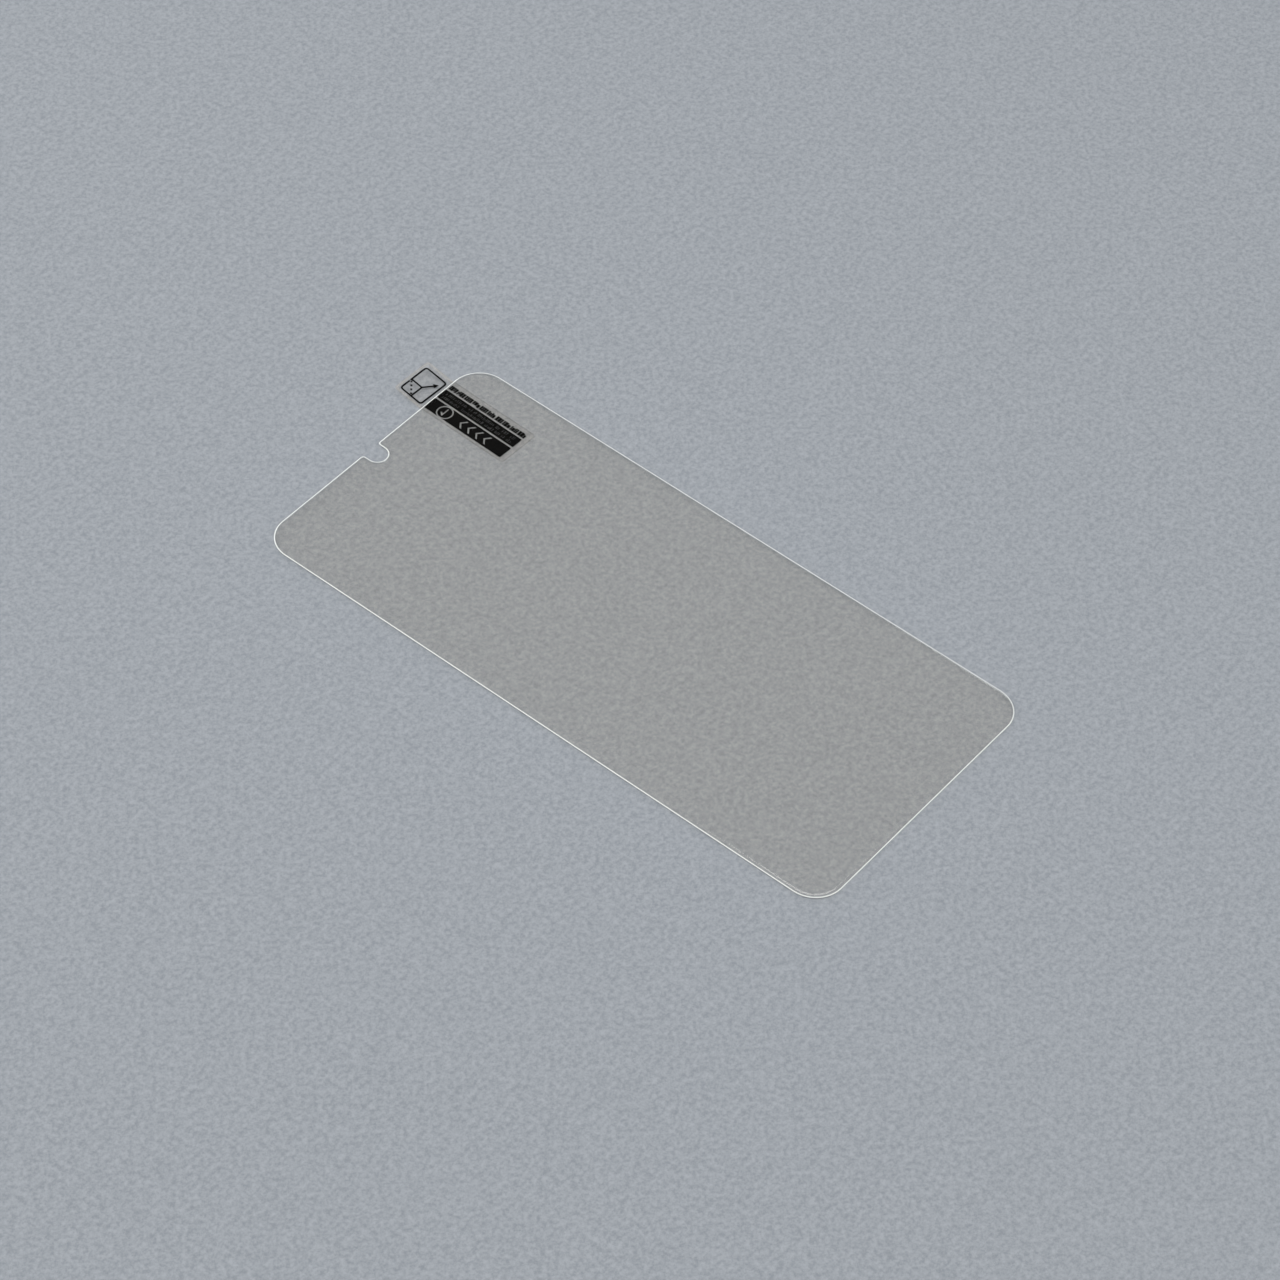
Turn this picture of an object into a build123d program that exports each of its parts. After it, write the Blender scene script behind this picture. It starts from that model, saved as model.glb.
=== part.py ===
from build123d import *
import os
from math import atan2, cos, degrees, radians, sin

# Phone screen protector: a thin glass plate with a clear adhesive coat, a release liner under the coat,
# and a printed pull tab stuck under the liner. Millimetres, +Z up. The origin is the middle of the bond
# face, which is the underside of the adhesive. The notched end of the plate points along +Y.

os.makedirs("parts", exist_ok=True)

# Glass plate
glass_width = 70.0
glass_length = 150.0
glass_thickness = 0.33
corner_radius = 7.0
edge_round = 0.28

# Notch in the +Y end, which leaves the phone's earpiece free
notch_width = 4.7
notch_depth = 4.35
notch_lip_radius = 0.8

# Adhesive coat, drawn back from the glass edge
adhesive_thickness = 0.15
adhesive_inset = 0.3

# Release liner
liner_thickness = 0.1
liner_inset = 0.2

# Pull tab film: where its middle crosses the glass end, how far it leans, and how its tab is bent up
film_thickness = 0.08
film_corner_radius = 0.8
film_left_margin = 0.8
film_right_margin = 1.15
film_tail_margin = 1.45
film_tip_margin = 0.8
label_side_distance = 12.8
label_lean = 1.5
bend_offset = 0.15
bend_radius = 3.0
tab_rise = 9.0

# Print, which lies in the film's upper face
ink_thickness = 0.02
band_length = 22.2
band_end_gap = 0.1
band_corner_radius = 0.25
band_gap = 0.45
numeral_band_width = 3.7
text_band_width = 3.05
line_row_width = 1.35

# Ring for the step number, which breaks out of its band at both sides
ring_distance = 4.5
ring_breakout = 0.1
ring_line = 0.3

# Row of lines beside the bands
line_count = 10
line_gap = 0.3

# Pictogram on the tab: a sheet with a folded corner, dashes along its crease, and an arrow from its tip
icon_gap = 0.25
icon_side_gap = 0.05
icon_width = 8.7
icon_height = 6.4
icon_corner_radius = 0.8
icon_line = 0.4
fold_width = 3.7
fold_height = 3.3
crease_count = 4
crease_pitch = 1.1
crease_dash = 0.5
arrow_length = 3.8
arrow_angle = -33.5
arrow_head_length = 1.15
arrow_head_width = 1.2

# Heights of the layers and places that follow from the sizes above
glass_base = adhesive_thickness
film_top = -liner_thickness
label_x = glass_width / 2 - label_side_distance
notch_radius = notch_width / 2
notch_straight = notch_depth - notch_radius
print_width = numeral_band_width + band_gap + text_band_width + band_gap + line_row_width
film_width = film_left_margin + print_width + film_right_margin
film_tail = band_end_gap + band_length + film_tail_margin
tab_straight = icon_gap + icon_height + film_tip_margin
print_left = film_left_margin - film_width / 2
numeral_band_x = print_left + numeral_band_width / 2
text_band_x = print_left + numeral_band_width + band_gap + text_band_width / 2
line_row_x = print_left + print_width - line_row_width / 2
band_y = -band_end_gap - band_length / 2
ring_y = -band_end_gap - ring_distance
ring_radius = numeral_band_width / 2 + ring_breakout
line_pitch = band_length / line_count
icon_left = print_left + icon_side_gap
icon_top = icon_gap + icon_height
fold_x = icon_left + fold_width
fold_y = icon_top - fold_height
crease_across = fold_width - icon_line / 2
crease_along = fold_height - icon_line / 2
crease_middle = (fold_x - crease_across / 2, fold_y + crease_along / 2)
crease_angle = degrees(atan2(crease_along, crease_across))
arrow_shaft = arrow_length - arrow_head_length
arrow_tip_x = fold_x + arrow_length * cos(radians(arrow_angle))
arrow_tip_y = fold_y + arrow_length * sin(radians(arrow_angle))

# The label's own plane is the film's upper face: Y runs along the strip towards the tab, from the glass
# edge. The tab's plane starts where the bend ends.
label_plane = Plane((label_x, glass_length / 2, film_top)).rotated((0, 0, -label_lean))
side_plane = Plane(label_plane.origin, x_dir=label_plane.y_dir, z_dir=label_plane.x_dir)
bend_end_y = bend_offset + bend_radius * sin(radians(tab_rise))
bend_end_z = bend_radius * (1 - cos(radians(tab_rise)))
tab_origin = label_plane.from_local_coords((0, bend_end_y, bend_end_z))
tab_plane = Plane(tab_origin, x_dir=label_plane.x_dir, z_dir=label_plane.z_dir).rotated((tab_rise, 0, 0))

# Outline of the glass: a rounded rectangle with a round-bottomed notch, whose lips are rounded too
with BuildSketch() as glass_outline:
    RectangleRounded(glass_width, glass_length, corner_radius)
    with Locations((0, glass_length / 2 - notch_straight)):
        Circle(notch_radius, mode=Mode.SUBTRACT)
        Rectangle(notch_width, notch_straight, align=(Align.CENTER, Align.MIN), mode=Mode.SUBTRACT)
    notch_lips = glass_outline.vertices().group_by(Axis.Y)[-1].sort_by(Axis.X)[1:3]
    fillet(notch_lips, radius=notch_lip_radius)

# Glass, with its upper edge ground round all the way about, notch included
with BuildPart() as glass_plate:
    with BuildSketch(Plane.XY.offset(glass_base)):
        add(glass_outline.sketch)
    extrude(amount=glass_thickness)
    fillet(glass_plate.edges().group_by(Axis.Z)[-1], radius=edge_round)
glass_plate.part.label = "glass_plate"

# Adhesive coat under the glass
with BuildPart() as adhesive_layer:
    with BuildSketch():
        add(glass_outline.sketch)
        offset(amount=-adhesive_inset)
    extrude(amount=adhesive_thickness)
adhesive_layer.part.label = "adhesive_layer"

# Liner under the adhesive, cut to nearly the glass outline
with BuildPart() as release_liner:
    with BuildSketch(Plane.XY.offset(-liner_thickness)):
        add(glass_outline.sketch)
        offset(amount=-liner_inset)
    extrude(amount=liner_thickness)
release_liner.part.label = "release_liner"

# Ink: two bands and a row of lines on the flat of the strip, and the pictogram on the tab
with BuildPart() as label_print:
    with BuildSketch(label_plane):
        with Locations((numeral_band_x, band_y)):
            RectangleRounded(numeral_band_width, band_length, band_corner_radius)
        with Locations((numeral_band_x, ring_y)):
            Circle(ring_radius, mode=Mode.SUBTRACT)
            Circle(ring_radius - ring_line)
        with Locations((text_band_x, band_y)):
            RectangleRounded(text_band_width, band_length, band_corner_radius)
        with Locations((line_row_x, band_y)):
            with GridLocations(0, line_pitch, 1, line_count):
                Rectangle(line_row_width, line_pitch - line_gap)
    extrude(amount=-ink_thickness)
    with BuildSketch(tab_plane):
        with Locations((icon_left + icon_width / 2, icon_gap + icon_height / 2)):
            RectangleRounded(icon_width, icon_height, icon_corner_radius)
            offset(amount=-icon_line, mode=Mode.SUBTRACT)
        with Locations((fold_x, fold_y)):
            Rectangle(icon_line, fold_height - icon_line / 2, align=(Align.CENTER, Align.MIN))
            Rectangle(fold_width - icon_line / 2, icon_line, align=(Align.MAX, Align.CENTER))
            Rectangle(arrow_shaft, icon_line, rotation=arrow_angle, align=(Align.MIN, Align.CENTER))
        with Locations(Location(crease_middle, crease_angle)):
            with GridLocations(crease_pitch, 0, crease_count, 1):
                Rectangle(crease_dash, icon_line)
        with Locations((arrow_tip_x, arrow_tip_y)):
            Polygon(
                (0, 0),
                (-arrow_head_length, arrow_head_width / 2),
                (-arrow_head_length, -arrow_head_width / 2),
                rotation=arrow_angle,
            )
    extrude(amount=-ink_thickness)
label_print.part.label = "label_print"

# Film: flat under the liner, bent up past the glass edge, with shallow pockets that the ink fills
with BuildPart() as pull_tab_label:
    with BuildSketch(side_plane):
        with BuildLine():
            tail = Line((-film_tail, 0), (bend_offset, 0))
            bend = JernArc(tail @ 1, tail % 1, bend_radius, tab_rise)
            Line(bend @ 1, bend @ 1 + (bend % 1) * tab_straight)
            offset(amount=film_thickness, side=Side.RIGHT)
        make_face()
    extrude(amount=film_width / 2, both=True)
    film_corners = pull_tab_label.edges().sort_by(SortBy.LENGTH)[:4]
    fillet(film_corners, radius=film_corner_radius)
    add(label_print.part, mode=Mode.SUBTRACT)
pull_tab_label.part.label = "pull_tab_label"

export_step(glass_plate.part, "parts/glass_plate.step")
export_step(adhesive_layer.part, "parts/adhesive_layer.step")
export_step(release_liner.part, "parts/release_liner.step")
export_step(pull_tab_label.part, "parts/pull_tab_label.step")
export_step(label_print.part, "parts/label_print.step")
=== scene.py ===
# %% [markdown]
# # A phone screen protector
# The object is a laminate that lies on a table: a sheet of tempered glass, a clear silicone coat
# under it, a clear release liner under the coat, and a printed clear strip stuck under the liner.
# The strip stands out past the glass edge as a pull tab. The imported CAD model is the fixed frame:
# every surface below is worked out in millimetres in that frame and goes into Blender in metres.

import bpy
import numpy as np
from mathutils import Matrix, Vector
from mathutils.geometry import delaunay_2d_cdt


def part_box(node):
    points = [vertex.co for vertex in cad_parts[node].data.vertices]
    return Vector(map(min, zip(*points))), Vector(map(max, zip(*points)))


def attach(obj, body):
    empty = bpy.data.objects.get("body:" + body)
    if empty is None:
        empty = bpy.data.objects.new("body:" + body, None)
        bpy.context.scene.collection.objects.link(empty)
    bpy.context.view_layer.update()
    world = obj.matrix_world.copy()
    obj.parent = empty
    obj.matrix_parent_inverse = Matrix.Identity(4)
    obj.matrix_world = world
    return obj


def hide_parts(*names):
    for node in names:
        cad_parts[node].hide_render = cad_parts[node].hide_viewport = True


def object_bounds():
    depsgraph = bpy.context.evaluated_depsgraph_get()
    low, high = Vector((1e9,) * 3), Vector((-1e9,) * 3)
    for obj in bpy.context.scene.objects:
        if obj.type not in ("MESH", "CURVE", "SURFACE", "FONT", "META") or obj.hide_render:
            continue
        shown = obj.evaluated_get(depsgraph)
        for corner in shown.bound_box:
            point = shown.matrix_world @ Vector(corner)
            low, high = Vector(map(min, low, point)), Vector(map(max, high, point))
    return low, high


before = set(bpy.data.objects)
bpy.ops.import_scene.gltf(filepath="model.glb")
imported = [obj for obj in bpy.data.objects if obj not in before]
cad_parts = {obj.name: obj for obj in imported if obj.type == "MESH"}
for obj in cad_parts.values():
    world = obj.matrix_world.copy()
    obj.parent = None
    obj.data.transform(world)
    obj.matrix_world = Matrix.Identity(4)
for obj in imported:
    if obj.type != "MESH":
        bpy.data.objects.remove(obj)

MM = 0.001
cad_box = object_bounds()
print("CAD box in mm:", [[round(v / MM, 3) for v in corner] for corner in cad_box])

# %% [markdown]
# ## Camera
# A product photographer stands off with a long lens, so that the plate keeps its sides nearly
# parallel. A camera could be pushed about by hand until the view fits. Here it is set as a tripod
# is, so that each number means something: the point on the plate that is aimed at, the distance,
# the way the camera looks, how steeply it looks down and how far it is tipped.

# %% Camera
aim_point = Vector((-3.742, -3.205, 0.35)) * MM
camera_distance = 928.3 * MM
look_azimuth = np.radians(53.442)
look_down = np.radians(48.665)
camera_tip = np.radians(3.674)
lens_length = 125.5
sensor_width = 36.0
nearest_seen = 0.01

look = Vector((
    np.sin(look_azimuth) * np.cos(look_down),
    np.cos(look_azimuth) * np.cos(look_down),
    -np.sin(look_down),
))
camera_data = bpy.data.cameras.new("studio_camera")
camera_data.lens = lens_length
camera_data.sensor_width = sensor_width
camera_data.clip_start = nearest_seen
camera = bpy.data.objects.new("studio_camera", camera_data)
bpy.context.scene.collection.objects.link(camera)
upright = look.to_track_quat("-Z", "Y").to_matrix().to_4x4()
stand = Matrix.Translation(aim_point - look * camera_distance)
camera.matrix_world = stand @ upright @ Matrix.Rotation(camera_tip, 4, "Z")
bpy.context.scene.camera = camera
bpy.context.scene.view_settings.view_transform = "Standard"
print("Camera stands at", [round(v, 4) for v in camera.matrix_world.translation])

# %% [markdown]
# ## Meshes and finishes
# Every piece below starts as arrays: numpy works out all its points at once, and from_pydata puts
# them into a mesh whose object stays at the origin. A piece could be pushed into shape by hand or
# with modifiers, but arrays keep it tied to a few named sizes. A finish is a tree of shader nodes.
# Its grain is a Noise texture on Object coordinates, so that it stays on the piece from every side.

# %% Helpers for meshes and finishes
def put_mesh(name, points, faces, smooth=True):
    """Make an object at the origin from an (n, 3) array of points in millimetres and a face list."""
    mesh = bpy.data.meshes.new(name)
    mesh.from_pydata((np.asarray(points) * MM).tolist(), [], faces)
    mesh.polygons.foreach_set("use_smooth", np.full(len(mesh.polygons), smooth))
    mesh.validate()
    mesh.update()
    piece = bpy.data.objects.new(name, mesh)
    bpy.context.scene.collection.objects.link(piece)
    return piece


def new_material(name):
    """Make a node material and hand back the material, its tree and its Principled shader."""
    material = bpy.data.materials.new(name)
    material.use_nodes = True
    tree = material.node_tree
    return material, tree, tree.nodes["Principled BSDF"]


def noise_on_object(tree, scale, detail):
    """Add a Noise texture on Object coordinates; scale is in features per metre."""
    place = tree.nodes.new("ShaderNodeTexCoord")
    noise = tree.nodes.new("ShaderNodeTexNoise")
    noise.inputs["Scale"].default_value = scale
    noise.inputs["Detail"].default_value = detail
    tree.links.new(place.outputs["Object"], noise.inputs["Vector"])
    return noise


def ramp_between(tree, value, low, high, start=0.35, stop=0.65):
    """Add a ramp that turns a value into a colour: low up to start, high from stop onwards."""
    ramp = tree.nodes.new("ShaderNodeValToRGB")
    ramp.color_ramp.elements[0].position = start
    ramp.color_ramp.elements[0].color = (*low, 1.0)
    ramp.color_ramp.elements[1].position = stop
    ramp.color_ramp.elements[1].color = (*high, 1.0)
    tree.links.new(value, ramp.inputs["Fac"])
    return ramp.outputs["Color"]


# %% [markdown]
# ## Floor
# Clear glass is only seen by what is behind it and what shines in it. The floor is pale bluish card
# with a fine mottle, which shows through the plate. A square would do, but a disc has a level far
# edge from every side. The mottle could be a picture of card, but a noise has no seams.

# %% Floor
floor_height = cad_box[0][2] / MM
floor_radius = 1400.0
floor_sides = 128
fibre_scale = 900.0
fibre_detail = 5.0
card_dark = (0.300, 0.325, 0.355)
card_pale = (0.430, 0.455, 0.490)

floor_turn = np.linspace(0, 2 * np.pi, floor_sides, endpoint=False)
floor_points = np.column_stack((
    floor_radius * np.cos(floor_turn),
    floor_radius * np.sin(floor_turn),
    np.full(floor_sides, floor_height),
))
floor = put_mesh("floor", floor_points, [list(range(floor_sides))])
card, card_tree, card_shader = new_material("pale_card")
fibre = noise_on_object(card_tree, fibre_scale, fibre_detail)
fibre.inputs["Roughness"].default_value = 0.8
card_colour = ramp_between(card_tree, fibre.outputs["Fac"], card_dark, card_pale, 0.36, 0.64)
card_tree.links.new(card_colour, card_shader.inputs["Base Color"])
card_shader.inputs["Roughness"].default_value = 0.9
card_shader.inputs["Specular IOR Level"].default_value = 0.1
floor.data.materials.append(card)
print("Floor at", round(floor_height, 3), "mm")

# %% [markdown]
# ## Light
# Three large softboxes light the card from the left, the right and the front, and a low one at the
# back lights the far rims. A plate is a mirror, so a lamp seen in it would hide the print: these
# four don't show in polished surfaces. Only the small edge light does, as a thin line in the
# rounded edge at the near corner. The world could be one flat grey. It is dim overhead instead, so
# that black print stays black, and pale near the horizon, which is what a low view sees.

# %% Lamps
def soft_lamp(name, azimuth, height, distance, sides, power, mirrored=False):
    """Add an oblong area lamp that faces the plate; angles are in degrees, sizes in metres.

    Only a lamp that is mirrored shows as a bright patch in polished surfaces. Glass mirrors on its
    upper face, which is a glossy ray, and on its under face, which comes out as a transmission ray.
    """
    turn, rise = np.radians((azimuth, height))
    towards = Vector((np.cos(turn) * np.cos(rise), np.sin(turn) * np.cos(rise), np.sin(rise)))
    lamp_data = bpy.data.lights.new(name, "AREA")
    lamp_data.shape = "RECTANGLE"
    lamp_data.size, lamp_data.size_y = sides
    lamp_data.energy = power
    lamp = bpy.data.objects.new(name, lamp_data)
    bpy.context.scene.collection.objects.link(lamp)
    place = Matrix.Translation(towards * distance)
    lamp.matrix_world = place @ (-towards).to_track_quat("-Z", "Y").to_matrix().to_4x4()
    lamp.visible_camera = False
    lamp.visible_glossy = mirrored
    lamp.visible_transmission = mirrored


soft_lamp("left_softbox", azimuth=125.0, height=52.0, distance=1.5, sides=(1.2, 1.2), power=9.9)
soft_lamp("right_softbox", azimuth=-52.0, height=50.0, distance=1.5, sides=(1.2, 1.2), power=9.9)
soft_lamp("front_softbox", azimuth=215.0, height=42.0, distance=1.5, sides=(1.2, 1.2), power=6.0)
soft_lamp("back_softbox", azimuth=70.0, height=12.0, distance=1.6, sides=(0.7, 0.5), power=15.5)
soft_lamp(
    "edge_light", azimuth=29.5, height=58.8, distance=1.6, sides=(0.2, 0.19), power=0.6,
    mirrored=True,
)

# %% World
horizon_colour = (0.62, 0.64, 0.66)
overhead_colour = (0.04, 0.041, 0.042)
pale_up_to = 0.10
dim_from = 0.55
clear_faces_passed = 32

world = bpy.data.worlds.new("studio_world")
world.use_nodes = True
bpy.context.scene.world = world
sky_tree = world.node_tree
sky_place = sky_tree.nodes.new("ShaderNodeTexCoord")
sky_split = sky_tree.nodes.new("ShaderNodeSeparateXYZ")
sky_tree.links.new(sky_place.outputs["Generated"], sky_split.inputs["Vector"])
sky_colour = ramp_between(
    sky_tree, sky_split.outputs["Z"], horizon_colour, overhead_colour, pale_up_to, dim_from,
)
sky_tree.links.new(sky_colour, sky_tree.nodes["Background"].inputs["Color"])
bpy.context.scene.cycles.transparent_max_bounces = clear_faces_passed
print("World: pale up to", pale_up_to, "and dim from", dim_from, "of the way up")

# %% [markdown]
# ## The plate's outline
# Glass, coat and liner are all cut to one outline: a rounded rectangle with a small round-bottomed
# notch for the earpiece, whose two lips are rounded. A Boolean could cut the notch out of a plate,
# but then its edge could not be ground in one go. So the outline is drawn as seven arcs with
# straight runs between them. With the outward normal kept beside each point, any layer is the same
# outline drawn in by its own inset.

# %% Runs of the outline
def arc_run(x, y, radius, start, stop, steps):
    """Points at centre + radius * (cos a, sin a) and their outward normals.

    The normal is (cos a, sin a) where the outline turns left, round a corner, and the opposite
    where it turns right, in the hollow of the notch.
    """
    a = np.radians(np.linspace(start, stop, steps))
    ray = np.column_stack((np.cos(a), np.sin(a)))
    return np.array((x, y)) + radius * ray, np.sign(stop - start) * ray


def straight_run(start, stop, steps):
    """Points between start and stop, both left out, with the normal to the right of the way."""
    start, stop = np.array(start), np.array(stop)
    share = np.linspace(0, 1, steps + 2)[1:-1, None]
    along = (stop - start) / np.linalg.norm(stop - start)
    return start + share * (stop - start), np.tile((along[1], -along[0]), (steps, 1))


# %% Outline
glass_low, glass_high = (np.array(corner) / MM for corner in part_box("glass_plate"))
half_width = (glass_high[0] - glass_low[0]) / 2
half_length = (glass_high[1] - glass_low[1]) / 2
corner_radius = 7.0
notch_radius = 2.35
notch_straight = 2.0
lip_radius = 0.8
corner_steps = 33
lip_steps = 13
notch_steps = 37
end_steps = 24

corner_x = half_width - corner_radius
corner_y = half_length - corner_radius
lip_x = notch_radius + lip_radius
lip_y = half_length - lip_radius
outline_runs = [
    arc_run(corner_x, corner_y, corner_radius, 0, 90, corner_steps),
    straight_run((corner_x, half_length), (lip_x, half_length), end_steps),
    arc_run(lip_x, lip_y, lip_radius, 90, 180, lip_steps),
    arc_run(0, half_length - notch_straight, notch_radius, 0, -180, notch_steps),
    arc_run(-lip_x, lip_y, lip_radius, 0, 90, lip_steps),
    straight_run((-lip_x, half_length), (-corner_x, half_length), end_steps),
    arc_run(-corner_x, corner_y, corner_radius, 90, 180, corner_steps),
    arc_run(-corner_x, -corner_y, corner_radius, 180, 270, corner_steps),
    arc_run(corner_x, -corner_y, corner_radius, 270, 360, corner_steps),
]
outline_points = np.concatenate([points for points, normals in outline_runs])
outline_normals = np.concatenate([normals for points, normals in outline_runs])
print("Outline:", len(outline_points), "points,", 2 * half_width, "by", 2 * half_length, "mm")

# %% [markdown]
# ## A layer from the outline
# Each layer is a profile carried along the outline. It could be a flat face with Solidify and Bevel
# on it, but a bevel is round and as wide everywhere. Here the profile climbs the edge from the under
# face to the upper face: at each step it has a height and an inset, which may change along the
# outline. The two faces close it.

# %% Profile along the outline
def layer_from_outline(name, inset, height):
    """Carry a profile round the outline and close it with two faces.

    Grid point (i, j) is outline point j moved inwards along its normal by inset (i, j), at height i.
    Hands back the piece, and how many rows and columns of faces its edge has.
    """
    rings = outline_points[None] - inset[..., None] * outline_normals[None]
    heights = np.broadcast_to(height[:, None, None], (*rings.shape[:2], 1))
    points = np.concatenate((rings, heights), axis=2).reshape(-1, 3)
    rows, columns = rings.shape[:2]
    index = np.arange(rows * columns).reshape(rows, columns)
    after = np.roll(index, -1, axis=1)
    sides = np.stack((index[:-1], after[:-1], after[1:], index[1:]), axis=-1).reshape(-1, 4)
    faces = sides.tolist() + [index[0][::-1].tolist(), index[-1].tolist()]
    return put_mesh(name, points, faces), (rows - 1, columns)


# %% [markdown]
# ## Glass
# Tempered glass 0.33 mm thick. Its lower edge has a hair bevel, the wall is cut straight, and the
# upper edge falls away in a quarter ellipse, which makers call a 2.5D edge. The outer part of the
# ellipse is ground: it scatters light and shows as a pale line all round. The rest is polished, and
# so are the faces. Round the notch a smaller wheel is used, so the polished part is narrower there.
# The steps of the profile are set so that one ring lies just where the ground part ends.

# %% Glass plate
glass_base = glass_low[2]
glass_top = glass_high[2]
hair_bevel = 0.03
edge_inset = 1.1
edge_drop = 0.17
ground_width = 0.26
ground_steps = 8
crown_steps = 12
notch_reach = 5.0
notch_loss = 0.75

ground_stop = np.arccos(1 - ground_width / edge_inset)
edge_angle = np.concatenate((
    np.linspace(0, ground_stop, ground_steps, endpoint=False),
    np.linspace(ground_stop, np.pi / 2, crown_steps + 1),
))
edge_in = np.concatenate(((hair_bevel, 0), edge_inset * (1 - np.cos(edge_angle))))[:, None]
edge_up = np.concatenate((
    (glass_base, glass_base + hair_bevel),
    glass_top - edge_drop * (1 - np.sin(edge_angle)),
))
from_notch = np.linalg.norm(outline_points - (0, half_length), axis=1)
crown_share = 1 - notch_loss * np.exp(-(from_notch / notch_reach)**2)
glass_in = np.minimum(edge_in, ground_width) + np.maximum(edge_in - ground_width, 0) * crown_share
glass, (edge_rows, edge_columns) = layer_from_outline("glass_plate_clear", glass_in, edge_up)
print("Glass:", edge_rows, "rows round the edge,", len(glass.data.polygons), "faces")

# %% [markdown]
# ## Glass finishes
# Polished glass bends and mirrors light. Left to that alone, the card under it would lie in deep
# shade, because a lamp is hard to find through a bending surface. So the glass is plainly clear, with
# a slight tint, for the rays that carry lamp light to the card. The ground part is not glass to the
# eye any more: it is a whitish, finely mottled surface. Its roughness hides what lies behind it.

# %% Glass finishes
glass_ior = 1.5
seen_tint = (0.992, 0.995, 0.975)
lit_tint = (1.000, 0.995, 0.983)
wall_rows = 2
GROUND, CROWN = 1, 2
sharp_angle = np.radians(35)


def clear_glass(name, roughness):
    """Glass that bends light for the eye, but lets lamp light straight through to what lies under."""
    material, tree, shader = new_material(name)
    shader.inputs["Base Color"].default_value = (*seen_tint, 1.0)
    shader.inputs["Roughness"].default_value = roughness
    shader.inputs["IOR"].default_value = glass_ior
    shader.inputs["Transmission Weight"].default_value = 1.0
    light_path = tree.nodes.new("ShaderNodeLightPath")
    clear_way = tree.nodes.new("ShaderNodeBsdfTransparent")
    clear_way.inputs["Color"].default_value = (*lit_tint, 1.0)
    surface = shader.outputs["BSDF"]
    for ray_kind in ("Is Shadow Ray", "Is Diffuse Ray"):
        switch = tree.nodes.new("ShaderNodeMixShader")
        tree.links.new(light_path.outputs[ray_kind], switch.inputs["Fac"])
        tree.links.new(surface, switch.inputs[1])
        tree.links.new(clear_way.outputs["BSDF"], switch.inputs[2])
        surface = switch.outputs["Shader"]
    tree.links.new(surface, tree.nodes["Material Output"].inputs["Surface"])
    return material


ground, ground_tree, ground_shader = new_material("ground_edge")
grind = noise_on_object(ground_tree, 5200.0, 4.0)
grind_colour = ramp_between(
    ground_tree, grind.outputs["Fac"], (0.84, 0.87, 0.85), (0.95, 0.97, 0.95),
)
ground_tree.links.new(grind_colour, ground_shader.inputs["Base Color"])
ground_shader.inputs["Roughness"].default_value = 0.45
ground_shader.inputs["IOR"].default_value = glass_ior

glass.data.materials.append(clear_glass("polished_glass", 0.0))
glass.data.materials.append(ground)
glass.data.materials.append(clear_glass("polished_edge", 0.1))
glass_finish = np.zeros(len(glass.data.polygons), dtype=np.int32)
edge_finish = glass_finish[:edge_rows * edge_columns].reshape(edge_rows, edge_columns)
edge_finish[wall_rows:wall_rows + ground_steps] = GROUND
edge_finish[wall_rows + ground_steps:] = CROWN
glass.data.polygons.foreach_set("material_index", glass_finish)
glass.data.set_sharp_from_angle(angle=sharp_angle)
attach(glass, "root")
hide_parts("glass_plate")
print("Faces of polished glass, ground edge and polished edge:", np.bincount(glass_finish).tolist())

# %% [markdown]
# ## Adhesive coat and release liner
# The silicone coat stops a little short of the glass edge and the liner is cut nearly to it. Both
# are so clear that they show only as a slight warm tint and a faint line at their edges. They could
# be left out, but then nothing would hold the glass, or the strip. A few thousandths of a millimetre
# of room between the layers keeps two faces from lying in one place.

# %% Coat and liner
layer_room = 0.004
sheet_bevel = 0.02
adhesive_low, adhesive_high = (np.array(corner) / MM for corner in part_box("adhesive_layer"))
liner_low, liner_high = (np.array(corner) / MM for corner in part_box("release_liner"))


def cut_sheet(name, inset, base, top):
    """A flat sheet with the outline's shape: a straight cut wall with a hair bevel at each face."""
    insets = np.array((inset + sheet_bevel, inset, inset, inset + sheet_bevel))[:, None]
    heights = np.array((base, base + sheet_bevel, top - sheet_bevel, top))
    return layer_from_outline(name, insets, heights)[0]


adhesive = cut_sheet(
    "adhesive_coat", glass_high[0] - adhesive_high[0],
    adhesive_low[2] + layer_room, adhesive_high[2] - layer_room,
)
liner = cut_sheet(
    "liner_sheet", glass_high[0] - liner_high[0],
    liner_low[2], liner_high[2] - layer_room,
)
print("Sheets:", [(sheet.name, len(sheet.data.polygons)) for sheet in (adhesive, liner)])

# %% [markdown]
# ## Clear films
# A film this thin bends no light to speak of, so it needs no refraction: a Transparent shader with a
# tint is enough, and quick. A film may also have a veil, which is a small share of a plain pale
# surface, and a gloss, which is a mirror that grows towards grazing angles as on any clear plastic.

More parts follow.
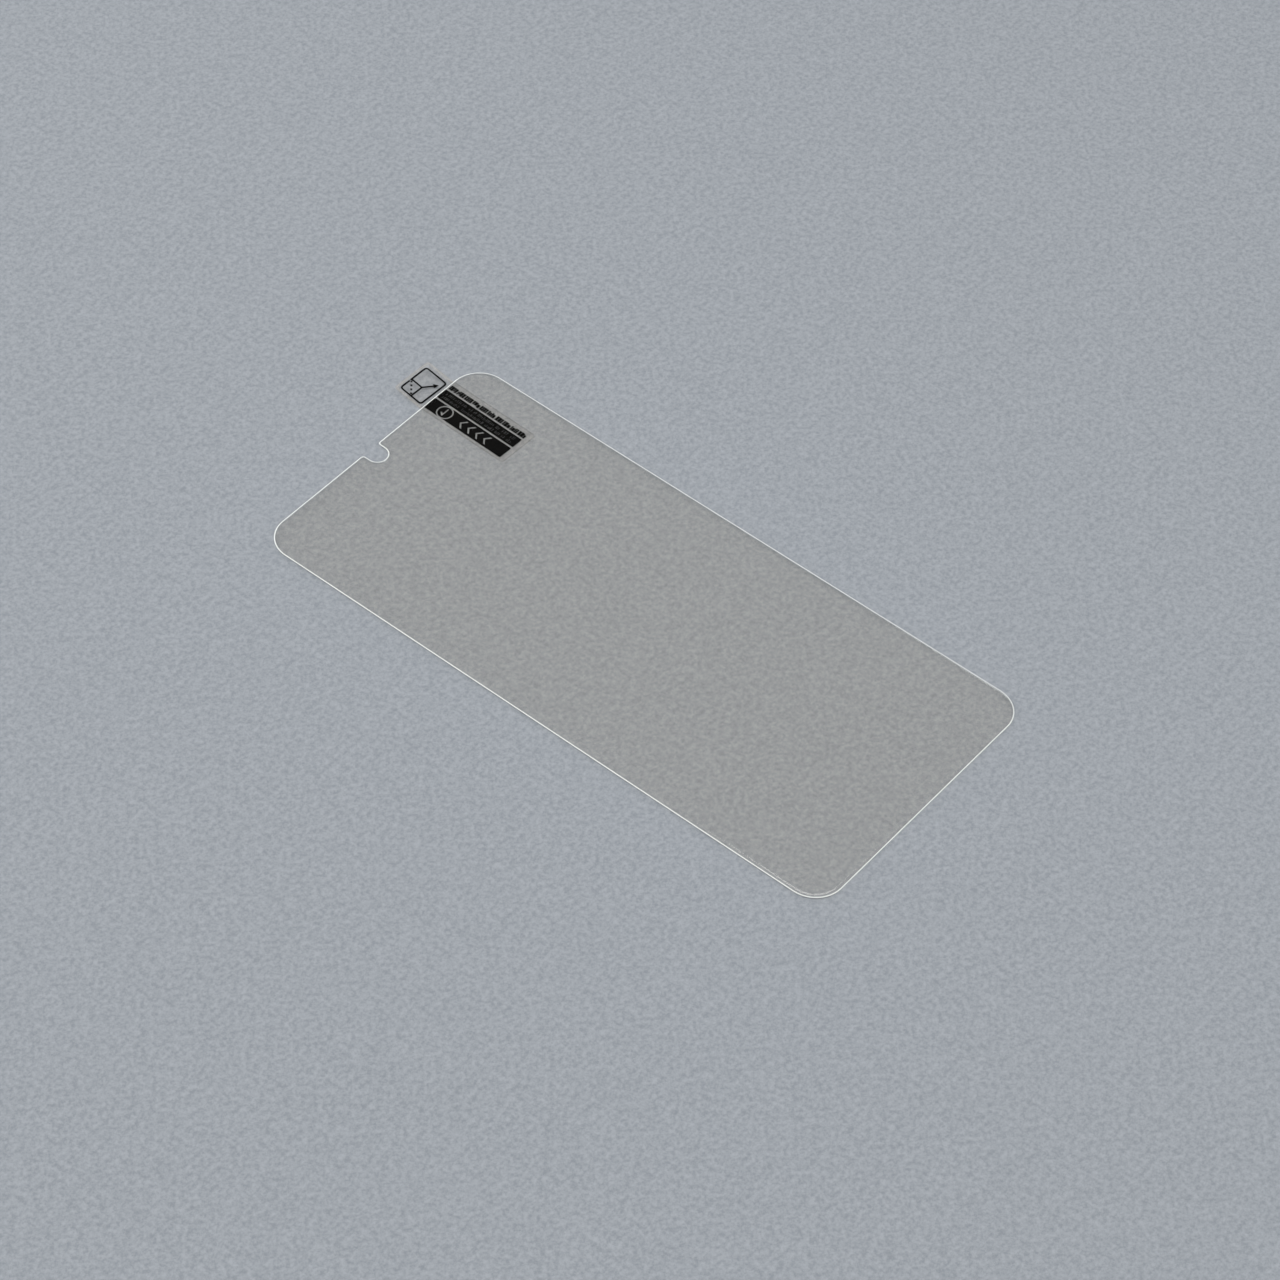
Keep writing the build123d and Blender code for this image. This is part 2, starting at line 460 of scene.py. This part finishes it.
# %% Clear films
def clear_film(name, tint, veil=0.0, veil_colour=(0.5, 0.5, 0.5), gloss=False):
    """A clear film: light goes through with a tint, past a fixed share of veil, and it may be glossy.

    The mirror's share is 0.6 times the fifth power of how far the face is turned from the eye, and
    a little more. A slight ripple, two hundredths of a millimetre deep, bends what it mirrors.
    """
    material, tree, shader = new_material(name)
    shader.inputs["Base Color"].default_value = (*veil_colour, 1.0)
    shader.inputs["Roughness"].default_value = 0.5
    through = tree.nodes.new("ShaderNodeBsdfTransparent")
    through.inputs["Color"].default_value = (*tint, 1.0)
    veiled = tree.nodes.new("ShaderNodeMixShader")
    veiled.inputs["Fac"].default_value = veil
    tree.links.new(through.outputs["BSDF"], veiled.inputs[1])
    tree.links.new(shader.outputs["BSDF"], veiled.inputs[2])
    surface = veiled.outputs["Shader"]
    if gloss:
        ripple = noise_on_object(tree, 220.0, 2.0)
        bump = tree.nodes.new("ShaderNodeBump")
        bump.inputs["Strength"].default_value = 0.3
        bump.inputs["Distance"].default_value = 0.02 * MM
        tree.links.new(ripple.outputs["Fac"], bump.inputs["Height"])
        mirror = tree.nodes.new("ShaderNodeBsdfGlossy")
        mirror.inputs["Roughness"].default_value = 0.12
        tree.links.new(bump.outputs["Normal"], mirror.inputs["Normal"])
        facing = tree.nodes.new("ShaderNodeLayerWeight")
        steep = tree.nodes.new("ShaderNodeMath")
        steep.operation = "POWER"
        steep.inputs[1].default_value = 5.0
        tree.links.new(facing.outputs["Facing"], steep.inputs[0])
        share = tree.nodes.new("ShaderNodeMath")
        share.operation = "MULTIPLY_ADD"
        share.inputs[1].default_value = 0.6
        share.inputs[2].default_value = 0.005
        tree.links.new(steep.outputs["Value"], share.inputs[0])
        shining = tree.nodes.new("ShaderNodeMixShader")
        tree.links.new(share.outputs["Value"], shining.inputs["Fac"])
        tree.links.new(surface, shining.inputs[1])
        tree.links.new(mirror.outputs["BSDF"], shining.inputs[2])
        surface = shining.outputs["Shader"]
    tree.links.new(surface, tree.nodes["Material Output"].inputs["Surface"])
    return material


coat_finish = clear_film("clear_silicone_coat", tint=(0.998, 0.996, 0.995))
liner_finish = clear_film("clear_liner_film", tint=(0.998, 0.991, 0.985))
for sheet, node, slot, finish in (
    (adhesive, "adhesive_layer", "clear_silicone", coat_finish),
    (liner, "release_liner", "liner_film", liner_finish),
):
    sheet.data.materials.append(finish)
    sheet.data.set_sharp_from_angle(angle=sharp_angle)
    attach(sheet, "root")
    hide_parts(node)
    print("Finish of", sheet.name, "is", finish.name)

# %% [markdown]
# ## The strip's own coordinates
# The printed strip lies flat under the liner, leans a little, and is bent up by a few degrees just
# past the glass edge. A Simple Deform modifier could bend it, but print and film must bend alike. So
# both are drawn flat and go through one function: u runs across the strip, v along it from the glass
# edge towards the tab, and h is the height above its upper face.

# %% Bending the strip
strip_x = 22.2
strip_lean = np.radians(1.5)
bend_start = 0.15
bend_radius = 3.0
tab_rise = np.radians(9.0)
bend_stop = bend_start + bend_radius * tab_rise
strip_top = liner_low[2]


def on_strip(u, v, h):
    """Lay flat strip points (u, v, h) on the bent strip.

    Up to the bend y is v and z is h. In the bend both turn about a centre one bend radius above the
    strip, and past it they run on along the last direction. Then the strip leans about z.
    """
    turn = np.clip((v - bend_start) / bend_radius, 0.0, tab_rise)
    before = np.minimum(v, bend_start)
    beyond = np.maximum(v - bend_stop, 0.0)
    y = before + (bend_radius - h) * np.sin(turn) + beyond * np.cos(turn)
    z = bend_radius - (bend_radius - h) * np.cos(turn) + beyond * np.sin(turn)
    return np.stack((
        strip_x + u * np.cos(strip_lean) + y * np.sin(strip_lean),
        half_length - u * np.sin(strip_lean) + y * np.cos(strip_lean),
        strip_top + z,
    ), axis=-1)


print("Bend: from", bend_start, "to", round(bend_stop, 3), "mm past the glass edge")

# %% [markdown]
# ## Label film
# A clear film with small round corners. It could be one flat outline, but a bend needs rows of
# points across it. So it is a grid: rows along the strip, close together where the corners and the
# bend need them, and columns across it. Near each end the rows get narrower, by the drop of a
# circle, which rounds the corners.

# %% Film grid
film_half = 5.475
film_tail = -23.75
tab_length = 7.45
film_tip = bend_stop + tab_length
film_corner = 0.8
# Widths of the film's border strips: painted shade under the liner, painted highlight on the tab.
stuck_shade_width = 0.22
free_highlight_width = 0.65

corner_rows = film_corner * (1 - np.cos(np.radians(np.linspace(0, 90, 9))))
film_rows = np.unique(np.round(np.concatenate((
    film_tail + corner_rows,
    np.linspace(film_tail + film_corner, bend_start, 12),
    np.linspace(bend_start, bend_stop, 7),
    np.linspace(bend_stop, film_tip - film_corner, 5),
    film_tip - corner_rows,
)), 6))
from_end = np.minimum(film_rows - film_tail, film_tip - film_rows)
short = np.clip(film_corner - from_end, 0.0, film_corner)
row_half = film_half - film_corner + np.sqrt(film_corner**2 - short**2)
across = np.linspace(free_highlight_width - film_half, film_half - free_highlight_width, 7)
border_half = np.array((film_half, film_half - stuck_shade_width))
columns_out = np.concatenate((-border_half, across, border_half[::-1]))
film_u = row_half[:, None] * columns_out[None] / film_half
film_v = np.broadcast_to(film_rows[:, None], film_u.shape)
print("Film grid:", film_u.shape, "points,", round(2 * film_half, 3), "mm wide")

# %% Film
film_thickness = 0.08
ink_room = 0.02


def slab(name, u, v, low, high):
    """Two grids of strip points, at heights low and high, joined by a wall round their border."""
    upper = on_strip(u, v, np.full(u.shape, high))
    lower = on_strip(u, v, np.full(u.shape, low))
    rows, columns = u.shape
    count = rows * columns
    top = np.arange(count).reshape(rows, columns)
    corners = (top[:-1, :-1], top[:-1, 1:], top[1:, 1:], top[1:, :-1])
    quads = np.stack(corners, axis=-1).reshape(-1, 4)
    border = np.concatenate((top[0, :-1], top[:-1, -1], top[-1, :0:-1], top[:0:-1, 0]))
    onward = np.roll(border, -1)
    wall = np.stack((border + count, onward + count, onward, border), axis=-1)
    faces = quads.tolist() + (quads[:, ::-1] + count).tolist() + wall.tolist()
    points = np.concatenate((upper.reshape(-1, 3), lower.reshape(-1, 3)))
    return put_mesh(name, points, faces)


film = slab("label_film", film_u, film_v, -film_thickness, -ink_room)
print("Film:", len(film.data.polygons), "faces")

# %% [markdown]
# ## Film finishes
# The film is clear, faintly warm and glossy. Its border has its own look, which is painted light and
# shade. Under the liner the border has a darker tint: painted shade, for the dark line that a wedge
# of air beside the real cut edge shows. On the free tab the border has a pale veil: a painted
# highlight, for the light that the cut edge catches.
# Lines of their own could be laid over the film, but a finish given to its outer faces can't come
# loose from it.

# %% Film finishes
STUCK_SHADE, FREE_HIGHLIGHT = 1, 2
for finish in (
    clear_film("clear_label_film", (0.998, 0.991, 0.981), 0.014, (0.62, 0.58, 0.54), gloss=True),
    # Painted shade: a darker tint on the border under the liner, for the dark line beside the cut edge.
    clear_film("stuck_edge_painted_shade", (0.850, 0.845, 0.840)),
    # Painted highlight: a pale veil on the tab's border, for the light that the cut edge catches.
    clear_film("free_edge_painted_highlight", (0.990, 0.970, 0.940), 0.20, (0.80, 0.76, 0.70), gloss=True),
):
    film.data.materials.append(finish)
row_middle = (film_rows[1:] + film_rows[:-1]) / 2
on_tab = row_middle > bend_start
upper_finish = np.zeros((len(film_rows) - 1, len(columns_out) - 1), dtype=np.int32)
# Under the liner the border faces get the painted shade.
upper_finish[np.ix_(~on_tab, (0, -1))] = STUCK_SHADE
upper_finish[row_middle - film_tail < stuck_shade_width] = STUCK_SHADE
# On the tab the border faces get the painted highlight.
upper_finish[np.ix_(on_tab, (0, 1, -2, -1))] = FREE_HIGHLIGHT
upper_finish[film_tip - row_middle < free_highlight_width] = FREE_HIGHLIGHT
under_finish = np.zeros_like(upper_finish)
end_wall = np.ones(len(columns_out) - 1, dtype=np.int32)
side_wall = np.where(on_tab, FREE_HIGHLIGHT, STUCK_SHADE)
film_finish = np.concatenate((
    upper_finish.ravel(), under_finish.ravel(),
    STUCK_SHADE * end_wall, side_wall, FREE_HIGHLIGHT * end_wall, side_wall[::-1],
)).astype(np.int32)
film.data.polygons.foreach_set("material_index", film_finish)
film.data.set_sharp_from_angle(angle=sharp_angle)
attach(film, "root")
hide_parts("pull_tab_label")
print("Faces of clear film, stuck edge and free edge:", np.bincount(film_finish).tolist())

# %% [markdown]
# ## Print
# The print is a thin coat of black ink on the film. It could be painted in a texture, but then the
# mesh alone would be bare. Every mark is a flat outline that is painted over the ones before it,
# either with ink or bare, as a printer lays a design out in layers. All outlines of a design cut one
# triangulation, and each triangle keeps what was painted on it last.

# %% Outlines of marks
def box_loop(x0, y0, x1, y1):
    """Corners of an upright rectangle, in order."""
    return np.array(((x0, y0), (x1, y0), (x1, y1), (x0, y1)))


def round_box_loop(x0, y0, x1, y1, radius, steps=7):
    """A rectangle whose corners are quarter circles of the given radius."""
    runs = [
        arc_run(x1 - radius, y1 - radius, radius, 0, 90, steps),
        arc_run(x0 + radius, y1 - radius, radius, 90, 180, steps),
        arc_run(x0 + radius, y0 + radius, radius, 180, 270, steps),
        arc_run(x1 - radius, y0 + radius, radius, 270, 360, steps),
    ]
    return np.concatenate([points for points, normals in runs])


def circle_loop(x, y, radius, steps=72):
    """Points at centre + radius * (cos a, sin a), once round."""
    return arc_run(x, y, radius, 0, 360, steps + 1)[0][:-1]


def stroke_loop(start, stop, width):
    """A straight stroke: the line from start to stop, widened by half a width to each side."""
    start, stop = np.array(start), np.array(stop)
    along = (stop - start) / np.linalg.norm(stop - start)
    across = np.array((-along[1], along[0])) * width / 2
    return np.array((start - across, stop - across, stop + across, start + across))


def chevron_loop(x, y, half_span, rise, width):
    """A V that points along +v: two legs of one width that meet at the tip."""
    return np.array((
        (x - half_span, y - rise / 2 - width / 2), (x, y + rise / 2 - width / 2),
        (x + half_span, y - rise / 2 - width / 2), (x + half_span, y - rise / 2 + width / 2),
        (x, y + rise / 2 + width / 2), (x - half_span, y - rise / 2 + width / 2),
    ))


# %% Painting marks
def lies_inside(points, loop):
    """Tell which points lie in a loop: a ray along +u from them crosses it an odd number of times."""
    u, v = points[:, :1], points[:, 1:]
    (u0, v0), (u1, v1) = loop.T, np.roll(loop, -1, axis=0).T
    crosses = (v0 > v) != (v1 > v)
    rise = np.where(v1 == v0, 1.0, v1 - v0)
    return (crosses & (u < u0 + (v - v0) * (u1 - u0) / rise)).sum(axis=1) % 2 == 1


def paint(strokes):
    """Paint loops one over another, each with ink (True) or bare (False).

    Hands back the flat points, the inked triangles and their border edges, with ink on the left. A
    side of a triangle is on the border if no other triangle has the same side the other way round.
    """
    loops = [loop for loop, ink in strokes]
    starts = np.cumsum([0] + [len(loop) for loop in loops])
    rounds = [np.arange(start, stop) for start, stop in zip(starts[:-1], starts[1:])]
    edges = np.concatenate([np.column_stack((one, np.roll(one, -1))) for one in rounds])
    flat = [Vector(point) for point in np.concatenate(loops)]
    cut = delaunay_2d_cdt(flat, edges.tolist(), [], 0, 1e-6)
    spots = np.array([tuple(point) for point in cut[0]])
    triangles = np.array(cut[2])
    a, b, c = (spots[triangles[:, k]] for k in range(3))
    area = (b[:, 0] - a[:, 0]) * (c[:, 1] - a[:, 1]) - (b[:, 1] - a[:, 1]) * (c[:, 0] - a[:, 0])
    triangles[area < 0] = triangles[area < 0][:, ::-1]
    inked = np.zeros(len(triangles), dtype=bool)
    for loop, ink in strokes:
        inked[lies_inside((a + b + c) / 3, loop)] = ink
    used, triangles = np.unique(triangles[inked], return_inverse=True)
    triangles = triangles.reshape(-1, 3)
    sides = np.concatenate((triangles[:, :2], triangles[:, 1:], triangles[:, ::2][:, ::-1]))
    own = sides[:, 0] * len(used) + sides[:, 1]
    back = sides[:, 1] * len(used) + sides[:, 0]
    return spots[used], triangles, sides[~np.isin(own, back)]


# %% [markdown]
# ## Bands
# Two black bands and a row of bars lie side by side under the glass. The first band has a step
# number in a ring, which breaks out of the band a little at both sides, and four arrows that point
# to the tab. Number, ring and arrows are bare film in the ink.

# %% Numeral band
film_left_margin = 0.8
band_end_gap = 0.1
band_length = 22.2
band_round = 0.25
band_gap = 0.45
numeral_band_width = 3.7
ring_distance = 4.5
ring_radius, ring_line = 1.95, 0.3
numeral_length, numeral_stroke = 2.4, 0.29
numeral_flag = ((0.62, numeral_stroke / 2), (0.98, 0.62), (0.72, 0.84))
arrow_places = (5.15, 7.45, 9.75, 12.05)
arrow_span, arrow_rise, arrow_stroke = 1.25, 1.0, 0.45

print_left = film_left_margin - film_half
band_top = -band_end_gap
band_low = band_top - band_length
numeral_x0, numeral_x1 = print_left, print_left + numeral_band_width
ring_x, ring_y = (numeral_x0 + numeral_x1) / 2, band_top - ring_distance
numeral_tip = np.array((ring_x - numeral_length / 2, ring_y))
numeral = numeral_tip + np.array((
    (0.0, -numeral_stroke / 2), (numeral_length, -numeral_stroke / 2),
    (numeral_length, numeral_stroke / 2), *numeral_flag, (0.0, 0.0),
))
numeral_band = paint([
    (round_box_loop(numeral_x0, band_low, numeral_x1, band_top, band_round), True),
    (circle_loop(ring_x, ring_y, ring_radius), False),
    (circle_loop(ring_x, ring_y, ring_radius - ring_line), True),
    (numeral, False),
    *(
        (chevron_loop(ring_x, ring_y - place, arrow_span, arrow_rise, arrow_stroke), False)
        for place in arrow_places
    ),
])
print("Numeral band:", len(numeral_band[1]), "triangles")

# %% [markdown]
# ## Small lines and bars
# The second band has two rows of small upright stems, and the row beside it is heavy bars in blocks.
# They could be set out evenly, but even rows look like a grille. A seeded random generator shifts,
# shortens and skips some of them, and gives the same rows at every run.

# %% Band of small lines
marks = np.random.default_rng(11)
text_band_width = 3.05
text_end_gap = 1.1
text_rows = (0.5, 1.75)
stem_width = 0.075
stem_pitch = 0.4
stem_sway = 0.25
stem_heights = (0.55, 0.8, 0.8)
stem_skip = 0.14

text_x0, text_x1 = numeral_x1 + band_gap, numeral_x1 + band_gap + text_band_width
stem_count = int((band_top - band_low - 2 * text_end_gap) / stem_pitch)
text_strokes = [(round_box_loop(text_x0, band_low, text_x1, band_top, band_round), True)]
for row in text_rows:
    row_x = text_x0 + row
    stem_steps = np.arange(stem_count) + marks.uniform(-stem_sway, stem_sway, stem_count)
    stem_y = band_top - text_end_gap - stem_pitch * stem_steps
    stem_top = row_x + marks.choice(stem_heights, stem_count)
    text_strokes += [
        (box_loop(row_x, y - stem_width / 2, top, y + stem_width / 2), False)
        for y, top in zip(stem_y, stem_top)
        if marks.uniform() > stem_skip
    ]
text_band = paint(text_strokes)
print("Small lines:", len(text_strokes) - 1, "stems")

# %% Row of bars
bar_row_width = 1.35
bar_blocks = 10
bar_pitch = 2.22
bar_gap = 0.22
bar_slit = 0.07
least_bar = 0.2
bar_lengths = (0.35, 0.75)
bar_cuts = (0.0, 0.0, 0.0, 0.0, 0.0, 0.3)

bars_x0, bars_x1 = text_x1 + band_gap, text_x1 + band_gap + bar_row_width
bar_strokes = []
for block_low in band_low + bar_pitch * np.arange(bar_blocks):
    block_high = block_low + bar_pitch - bar_gap
    bar_low = block_low
    while bar_low < block_high - least_bar:
        bar_high = min(bar_low + marks.uniform(*bar_lengths), block_high)
        cut_low, cut_high = marks.choice(bar_cuts, 2)
        bar_strokes.append((box_loop(bars_x0 + cut_low, bar_low, bars_x1 - cut_high, bar_high), True))
        bar_low = bar_high + bar_slit
bar_row = paint(bar_strokes)
print("Bars:", len(bar_strokes), "outlines")

# %% [markdown]
# ## Pictogram
# On the tab a pictogram shows a sheet whose corner is pulled back: a rounded frame with a short
# break, two lines for the folded corner, dashes along its crease, and an arrow from its tip. It is
# drawn with straight strokes of one width, as a sign maker would.

# %% Pictogram
icon_line = 0.4
icon_round = 0.8
icon_side_gap, icon_gap = 0.05, 0.25
icon_width, icon_height = 8.7, 6.4
fold_width, fold_height = 3.7, 3.3
break_near, break_far = 0.35, 0.6
arrow_turn = np.radians(-33.5)
arrow_length, head_length, head_width = 3.8, 1.15, 1.2
crease_steps = (-1.5, -0.5, 0.5, 1.5)
crease_pitch, crease_dash, crease_width = 1.1, 0.5, 0.42

icon_x0, icon_y0 = print_left + icon_side_gap, bend_stop + icon_gap
icon_x1, icon_y1 = icon_x0 + icon_width, icon_y0 + icon_height
fold_x, fold_y = icon_x0 + fold_width, icon_y1 - fold_height
fold_tip = np.array((fold_x, fold_y))
arrow_way = np.array((np.cos(arrow_turn), np.sin(arrow_turn)))
head_side = np.array((-arrow_way[1], arrow_way[0])) * head_width / 2
arrow_tip = fold_tip + arrow_length * arrow_way
head_foot = arrow_tip - head_length * arrow_way
half_line = icon_line / 2
crease_start = np.array((icon_x0 + half_line, fold_y))
crease_stop = np.array((fold_x, icon_y1 - half_line))
crease_way = (crease_stop - crease_start) / np.linalg.norm(crease_stop - crease_start)
crease_middle = (crease_start + crease_stop) / 2
half_dash = crease_dash / 2 * crease_way
dash_places = [crease_middle + step * crease_pitch * crease_way for step in crease_steps]
pictogram = paint([
    (round_box_loop(icon_x0, icon_y0, icon_x1, icon_y1, icon_round), True),
    (round_box_loop(
        icon_x0 + icon_line, icon_y0 + icon_line, icon_x1 - icon_line, icon_y1 - icon_line,
        icon_round - icon_line,
    ), False),
    (box_loop(fold_x - break_far, icon_y1 - icon_line, fold_x - break_near, icon_y1), False),
    (stroke_loop(crease_start, (fold_x + half_line, fold_y), icon_line), True),
    (stroke_loop(fold_tip, crease_stop, icon_line), True),
    *((stroke_loop(place - half_dash, place + half_dash, crease_width), True) for place in dash_places),
    (stroke_loop(fold_tip, head_foot, icon_line), True),
    (np.array((arrow_tip, head_foot + head_side, head_foot - head_side)), True),
])
print("Pictogram:", len(pictogram[1]), "triangles")

# %% [markdown]
# ## Ink
# The inked triangles get a thickness and are laid on the strip, so the ink is a thin solid that
# bends with the film. It lies a few thousandths of a millimetre above the film and below the liner.
# Its black is very slightly mottled and almost without gloss, as print under a film is.

# %% Ink on the film
ink_lift = 0.003
ink_sink = 0.004
ink_low = -ink_room + ink_lift
ink_high = -ink_sink


def ink_on_strip(name, shapes):
    """Give each flat shape a thickness and lay it on the strip: upper face, under face and wall."""
    all_points, all_faces, first = [], [], 0
    for spots, triangles, borders in shapes:
        count = len(spots)
        start, stop = borders.T
        all_points.append(on_strip(spots[:, 0], spots[:, 1], np.full(count, ink_high)))
        all_points.append(on_strip(spots[:, 0], spots[:, 1], np.full(count, ink_low)))
        wall = np.column_stack((stop, start, start + count, stop + count))
        all_faces += (triangles + first).tolist()
        all_faces += (triangles[:, ::-1] + first + count).tolist()
        all_faces += (wall + first).tolist()
        first += 2 * count
    return put_mesh(name, np.concatenate(all_points), all_faces, smooth=False)


ink = ink_on_strip("label_ink", [numeral_band, text_band, bar_row, pictogram])
black, black_tree, black_shader = new_material("black_ink_coat")
ink_mottle = noise_on_object(black_tree, 1800.0, 3.0)
ink_colour = ramp_between(
    black_tree, ink_mottle.outputs["Fac"], (0.0020, 0.0020, 0.0018), (0.0045, 0.0045, 0.0042),
)
black_tree.links.new(ink_colour, black_shader.inputs["Base Color"])
black_shader.inputs["Roughness"].default_value = 0.55
black_shader.inputs["Specular IOR Level"].default_value = 0.05
ink.data.materials.append(black)
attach(ink, "root")
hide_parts("label_print")
print("Ink:", len(ink.data.polygons), "faces")

# %% [markdown]
# ## Update
# The dressed part is meant to fill the CAD box and stay inside it. Here the view layer is only brought
# up to date.

# %% Bring the view layer up to date
bpy.context.view_layer.update()
